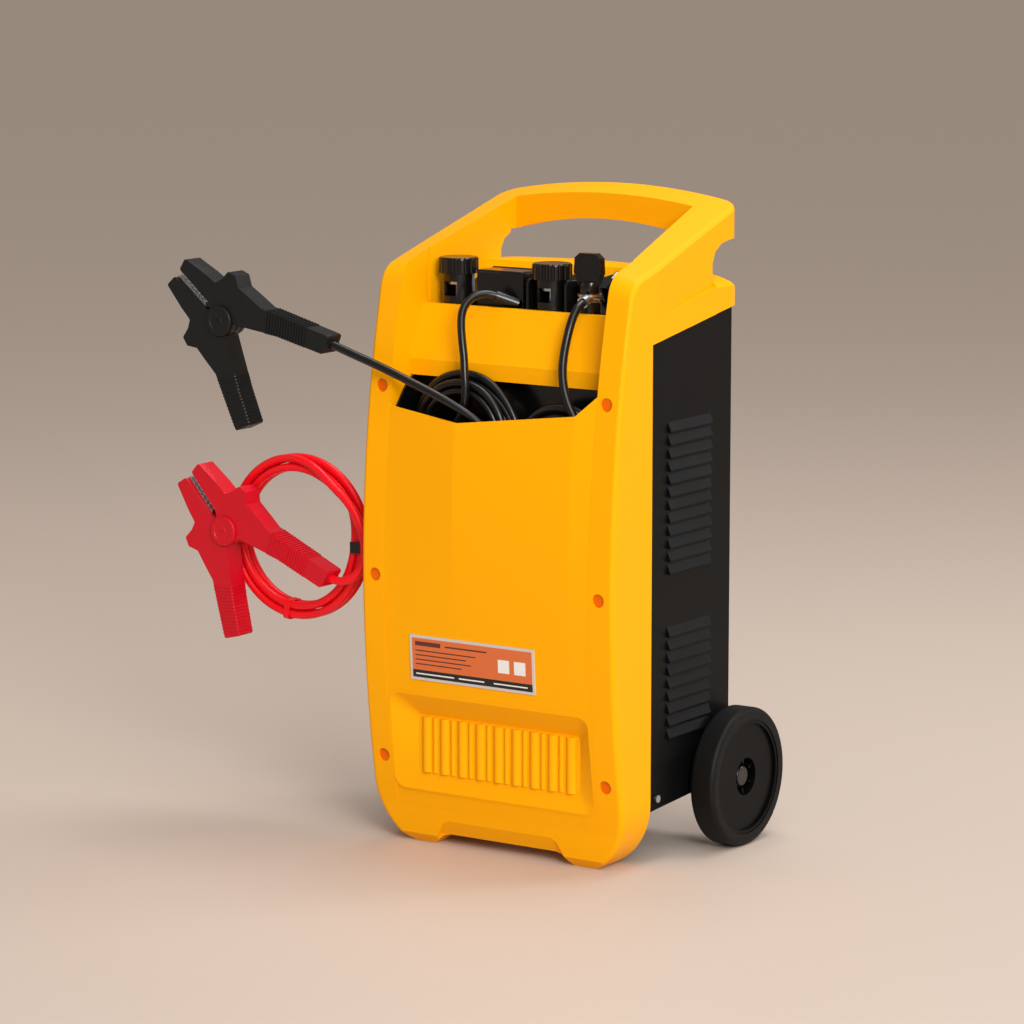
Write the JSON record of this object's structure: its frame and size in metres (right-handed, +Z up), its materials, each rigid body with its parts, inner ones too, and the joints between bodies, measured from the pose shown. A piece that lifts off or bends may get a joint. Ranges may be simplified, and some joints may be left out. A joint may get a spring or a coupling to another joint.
{
  "type": "wheeled battery charger",
  "caption": "Upright wheeled car battery charger with moulded front, grip handle, cable pocket, steel case, two wheels and two spring clamps on leads.",
  "frame": {"origin": "on the floor under the middle of the machine's box, leads and clamps left out", "axes": "+Z up, the moulded front faces -Y, +X to the right seen from the front"},
  "size_m": [0.5946, 0.3105, 0.6882],
  "materials": {
    "orange": "gloss",
    "black_gloss": "gloss",
    "case_paint": "textured",
    "steel": "brushed",
    "wheel_plastic": "satin",
    "tyre": "matte",
    "core_steel": "matte",
    "copper": "satin",
    "aluminium": "satin",
    "diode": "satin",
    "clear": "gloss",
    "needle_red": "matte",
    "label": "satin",
    "charcoal": "satin",
    "crimson": "satin",
    "black_cord": "satin",
    "red_cord": "satin"
  },
  "bodies": {
    "machine": {"ammeter_case": "black_gloss", "ammeter_lens": "clear", "axle": "steel", "base_tray": "case_paint", "black_clamp_fixed_arm": "charcoal", "black_clamp_metalwork": "steel", "black_lead_coil": "black_cord", "black_lead_run": "black_cord", "black_lead_up": "black_cord", "case_screws": "steel", "chassis_brackets": "case_paint", "control_deck": "black_gloss", "cord_bush": "black_gloss", "cord_entry_box": "black_gloss", "fan_frame": "black_gloss", "front_moulding": "orange", "handle_rear_shell": "orange", "label_plate": "label", "lead_clip": "black_gloss", "lead_lug": "steel", "mains_coil": "black_cord", "mains_lead_down": "black_cord", "mains_lead_up": "black_cord", "mains_plug": "black_gloss", "pocket_bin": "black_gloss", "rear_panel": "case_paint", "rectifier_diodes": "diode", "rectifier_plates": "aluminium", "red_clamp_fixed_arm": "crimson", "red_clamp_metalwork": "steel", "red_coil": "red_cord", "red_gland": "crimson", "red_lead_clamp_end": "red_cord", "red_lead_gland_end": "red_cord", "screw_caps": "orange", "side_panel_left": "case_paint", "side_panel_right": "case_paint", "switch_bodies": "black_gloss", "terminal_bodies": "black_gloss", "terminal_studs": "steel", "transformer_core": "core_steel", "transformer_windings": "copper"},
    "right_wheel": {"right_wheel": "wheel_plastic", "right_tyre": "tyre"},
    "left_wheel": {"left_wheel": "wheel_plastic", "left_tyre": "tyre"},
    "fan_rotor": {"fan_impeller": "black_gloss"},
    "meter_needle": {"ammeter_needle": "needle_red"},
    "power_key": {"power_rocker": "black_gloss"},
    "charge_key": {"charge_rocker": "black_gloss"},
    "timer_dial": {"timer_knob": "black_gloss"},
    "left_washer": {"left_clamp_washer": "steel"},
    "left_knob": {"left_terminal_knob": "black_gloss"},
    "middle_washer": {"middle_clamp_washer": "steel"},
    "middle_knob": {"middle_terminal_knob": "black_gloss"},
    "wing_nut": {"wing_knob": "black_gloss"},
    "black_jaw": {"black_clamp_moving_arm": "charcoal", "black_clamp_moving_jaw": "steel"},
    "red_jaw": {"red_clamp_moving_arm": "crimson", "red_clamp_moving_jaw": "steel"}
  },
  "joints": [
    {"name": "right_wheel_spin", "type": "hinge", "parent": "machine", "child": "right_wheel", "pos_m": [0.1775, 0.0716, 0.0737], "axis": [1, 0, 0], "continuous": true},
    {"name": "left_wheel_spin", "type": "hinge", "parent": "machine", "child": "left_wheel", "pos_m": [-0.1775, 0.0716, 0.0737], "axis": [1, 0, 0], "continuous": true},
    {"name": "fan_spin", "type": "hinge", "parent": "machine", "child": "fan_rotor", "pos_m": [0, 0.0735, 0.33], "axis": [0, 1, 0], "continuous": true},
    {"name": "meter_needle_swing", "type": "hinge", "parent": "machine", "child": "meter_needle", "pos_m": [-0.069, -0.01153, 0.57746], "axis": [0, 0.512, -0.859], "range_deg": [0, 80], "stiffness_Nm_per_rad": 0.0002, "springref_deg": -17.19},
    {"name": "power_switch_tilt", "type": "hinge", "parent": "machine", "child": "power_key", "pos_m": [-0.014, 0.00477, 0.58136], "axis": [1, 0, 0], "range_deg": [0, 24]},
    {"name": "charge_switch_tilt", "type": "hinge", "parent": "machine", "child": "charge_key", "pos_m": [0.014, 0.00477, 0.58136], "axis": [1, 0, 0], "range_deg": [0, 24]},
    {"name": "timer_turn", "type": "hinge", "parent": "machine", "child": "timer_dial", "pos_m": [0.066, 0.00477, 0.58136], "axis": [0, 0.512, -0.859], "range_deg": [0, 300]},
    {"name": "left_washer_lift", "type": "slide", "parent": "machine", "child": "left_washer", "axis": [0, 0, 1], "range_m": [0, 0.00375]},
    {"name": "left_knob_turn", "type": "hinge", "parent": "left_washer", "child": "left_knob", "pos_m": [-0.099, -0.0435, 0.608], "axis": [0, 0, 1], "range_deg": [0, 1080]},
    {"name": "middle_washer_lift", "type": "slide", "parent": "machine", "child": "middle_washer", "axis": [0, 0, 1], "range_m": [0, 0.00375]},
    {"name": "middle_knob_turn", "type": "hinge", "parent": "middle_washer", "child": "middle_knob", "pos_m": [0.0185, -0.0435, 0.608], "axis": [0, 0, 1], "range_deg": [0, 1080]},
    {"name": "wing_nut_turn", "type": "hinge", "parent": "machine", "child": "wing_nut", "pos_m": [0.067, -0.0475, 0.605], "axis": [0, 0, 1], "range_deg": [0, 360]},
    {"name": "black_clamp_open", "type": "hinge", "parent": "machine", "child": "black_jaw", "pos_m": [-0.324, -0.151, 0.546], "axis": [0, -1, 0], "range_deg": [0, 25], "stiffness_Nm_per_rad": 2, "springref_deg": -17.19},
    {"name": "red_clamp_open", "type": "hinge", "parent": "machine", "child": "red_jaw", "pos_m": [-0.34, -0.1274, 0.316], "axis": [0, -1, 0], "range_deg": [0, 25], "stiffness_Nm_per_rad": 2, "springref_deg": -17.19}
  ],
  "couplings": [
    {"joint": "left_knob_turn", "follows": "left_washer_lift", "rad_per_m": 5026.6},
    {"joint": "middle_knob_turn", "follows": "middle_washer_lift", "rad_per_m": 5026.6}
  ]
}
